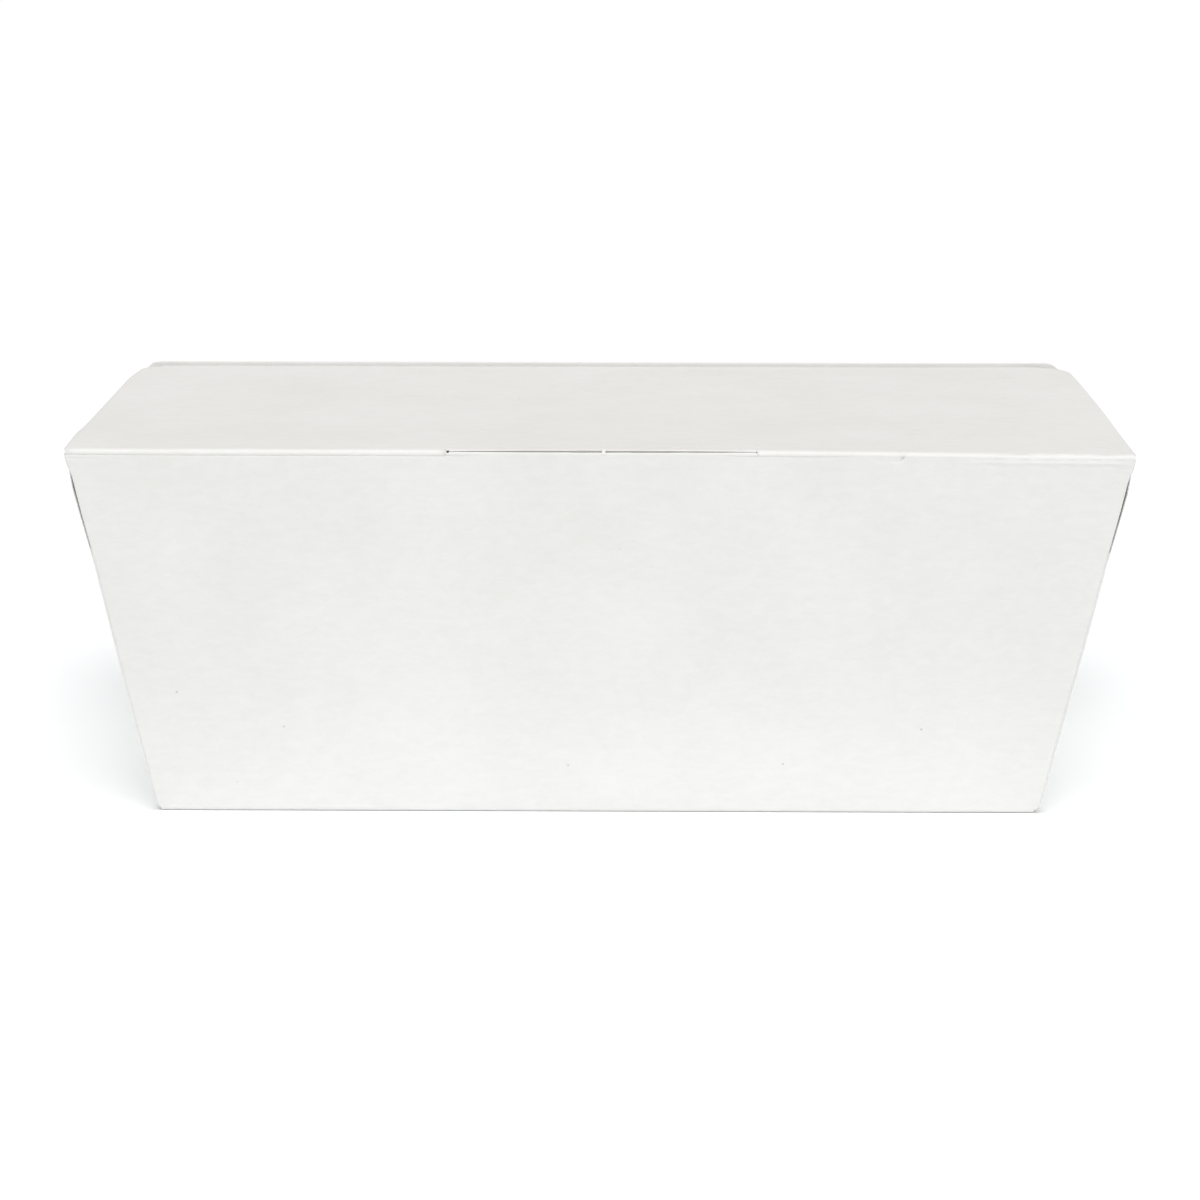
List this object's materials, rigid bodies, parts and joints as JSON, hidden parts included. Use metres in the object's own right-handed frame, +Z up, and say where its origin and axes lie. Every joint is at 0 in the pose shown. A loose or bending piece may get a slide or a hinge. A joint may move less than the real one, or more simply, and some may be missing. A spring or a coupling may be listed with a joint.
{
  "type": "corrugated lunch box",
  "caption": "White corrugated board lunch box with outward-leaning walls, a lid hinged on a slit crease and a flap tucked inside the opposite wall.",
  "frame": {"origin": "centre of the box's outline seen from above, on the surface that the base stands on", "axes": "+X along the length, +Y from the hinge side to the tuck side, +Z up"},
  "size_m": [0.205, 0.1069, 0.0766],
  "materials": {
    "tray_board": "matt bleached liner on fine-flute corrugated board",
    "lid_board": "matt bleached liner on fine-flute corrugated board"
  },
  "bodies": {
    "tray": {"tray": "tray_board"},
    "lid": {"lid": "lid_board"}
  },
  "joints": [
    {"name": "lid_hinge", "type": "hinge", "parent": "tray", "child": "lid", "pos_m": [0, -0.05307, 0.07564], "axis": [1, 0, 0], "range_deg": [0, 175]}
  ]
}
